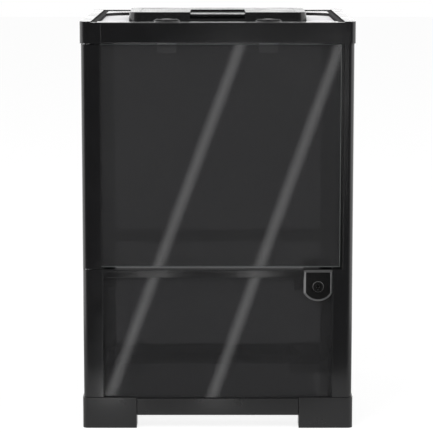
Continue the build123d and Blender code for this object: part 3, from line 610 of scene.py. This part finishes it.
def light_strip(name, top_x, foot_x, material):
    """A straight soft-edged strip that the door shows as a slanted streak."""
    top = mirrored_point(top_x, STREAK_TOP, STREAK_FAR)
    foot = mirrored_point(foot_x, STREAK_FOOT, STREAK_NEAR)
    vertices = []
    fades = []
    faces = []
    for step in range(STREAK_STEPS + 1):
        share = step / STREAK_STEPS
        middle = top.lerp(foot, share)
        distance = STREAK_FAR + (STREAK_NEAR - STREAK_FAR) * share
        half = STREAK_WIDTH * (1.0 + distance / CAMERA_DISTANCE)
        for side, fade in ((-1, 0.0), (0, 1.0), (1, 0.0)):
            vertices.append(middle + Vector((side * half, 0.0, 0.0)))
            fades.append(fade)
    for step in range(STREAK_STEPS):
        for side in (0, 1):
            corner = 3 * step + side
            faces.append((corner, corner + 1, corner + 4, corner + 3))
    strip = mesh_piece(name, vertices, faces, material)
    strip.data.attributes.new("fade", "FLOAT", "POINT").data.foreach_set("value", fades)


def soft_panel(name, corner, across, height, strength):
    """A large soft box, an upright panel that only gloss shows."""
    start = Vector(corner)
    side = Vector(across)
    rise = Vector((0.0, 0.0, height))
    panel = mesh_piece(
        name,
        [start, start + side, start + side + rise, start + rise],
        [(0, 1, 2, 3)],
        lit_for_gloss(name, strength),
    )


def soft_lamp(name, place, power):
    """A large square lamp that gloss doesn't show."""
    light = bpy.data.lights.new(name, "AREA")
    light.size = LAMP_SIZE
    light.energy = power
    lamp = bpy.data.objects.new(name, light)
    lamp.location = place
    aim = Vector(LAMP_AIM) - Vector(place)
    lamp.rotation_euler = aim.to_track_quat("-Z", "Y").to_euler()
    lamp.visible_glossy = False
    bpy.context.collection.objects.link(lamp)


def add_camera():
    """The photograph's view: square on, from a little above the tank."""
    data = bpy.data.cameras.new("camera")
    data.lens = CAMERA_LENS
    data.sensor_width = CAMERA_SENSOR
    data.shift_x = CAMERA_SIDE_SHIFT
    data.clip_end = CAMERA_REACH
    camera = bpy.data.objects.new("camera", data)
    camera.location = camera_place()
    camera.rotation_euler = (math.radians(90.0 - CAMERA_TILT), 0.0, 0.0)
    bpy.context.collection.objects.link(camera)
    bpy.context.scene.camera = camera


def add_studio():
    """Floor, world, lamps, soft boxes and the two light strips."""
    half = FLOOR_SIZE / 2
    floor = mesh_piece(
        "floor",
        [(-half, -half, 0), (half, -half, 0), (half, half, 0), (-half, half, 0)],
        [(0, 1, 2, 3)],
        floor_material(),
    )
    white_world()
    soft_lamp("key_lamp", KEY_PLACE, KEY_POWER)
    soft_lamp("fill_lamp", FILL_PLACE, FILL_POWER)
    soft_panel(
        "back_panel",
        (-BACK_PANEL_WIDTH / 2, BACK_PANEL_AWAY, BACK_PANEL_FOOT),
        (BACK_PANEL_WIDTH, 0.0, 0.0),
        BACK_PANEL_HEIGHT,
        BACK_PANEL_STRENGTH,
    )
    sides = (("left_panel", -1, LEFT_PANEL_STRENGTH), ("right_panel", 1, RIGHT_PANEL_STRENGTH))
    for name, side, strength in sides:
        soft_panel(
            name,
            (
                side * SIDE_PANEL_AWAY,
                SIDE_PANEL_MIDDLE + side * SIDE_PANEL_LENGTH / 2,
                SIDE_PANEL_FOOT,
            ),
            (0.0, -side * SIDE_PANEL_LENGTH, 0.0),
            SIDE_PANEL_HEIGHT,
            strength,
        )
    material = lit_for_gloss("light_strip", STREAK_STRENGTH, fade="fade")
    light_strip("strip_left", *LEFT_STREAK, material)
    light_strip("strip_right", *RIGHT_STREAK, material)


def dress_nodes():
    """Materials for every CAD node that shows, by the start of its name, and the woven screen."""
    frame_black = moulded_plastic(
        "frame_black", (0.006, 0.006, 0.0065), roughness=0.16, grain=1500.0, grain_depth=3e-6
    )
    base_black = moulded_plastic(
        "base_black", (0.009, 0.009, 0.0095), roughness=0.30, grain=2500.0, grain_depth=6e-6
    )
    fitting_black = moulded_plastic(
        "fitting_black", (0.010, 0.010, 0.0105), roughness=0.20, grain=2000.0, grain_depth=4e-6
    )
    keeper_grey = moulded_plastic(
        "keeper_grey", (0.75, 0.75, 0.75), roughness=0.45, grain=2000.0, grain_depth=8e-6
    )
    cover_black = grained_border(frame_black)
    steel = metal("lock_steel", (0.45, 0.45, 0.46), roughness=0.25, brushed=(1.0, 1.0, 0.1))
    # The lock's housing and cylinder: black, with a painted highlight on their bevels, dimmed as
    # painted shade on the housing's top faces
    housing_black = black_with_painted_highlight("housing_black", painted_top_dimming=0.65)
    cylinder_black = black_with_painted_highlight("cylinder_black", painted_top_dimming=0.0)
    mesh_steel = metal("mesh_steel", (0.98, 0.98, 0.99), roughness=0.50, metallic=0.4)
    glass = smoked_glass("smoked_glass", tint=(0.325, 0.325, 0.328), film=0.019)
    door_glass = smoked_glass("door_glass", tint=(0.24, 0.24, 0.242), film=0.027, edge_axis="Y")
    # The first row that fits a name counts, and the last one fits every name
    materials = {
        ("foot_", "base_rail_"): base_black,
        ("latch_keeper_",): keeper_grey,
        ("latch_", "hatch_frame", "hatch_lid", "cable_plug_"): fitting_black,
        ("lock_housing",): housing_black,
        ("lock_cylinder",): cylinder_black,
        ("lock_", "cam_", "hatch_pins", "lower_hinge", "upper_hinge"): steel,
        ("cover_frame",): cover_black,
        ("door_glass",): door_glass,
        ("floor_glass", "left_side", "right_side", "lower_front", "back_lower", "back_upper"): glass,
        ("",): frame_black,
    }
    for name in NODES:
        dress(name, next(m for starts, m in materials.items() if name.startswith(starts)))
    woven_screen(mesh_steel)


bpy.context.scene.view_settings.view_transform = "Standard"
add_camera()
dress_nodes()
add_studio()
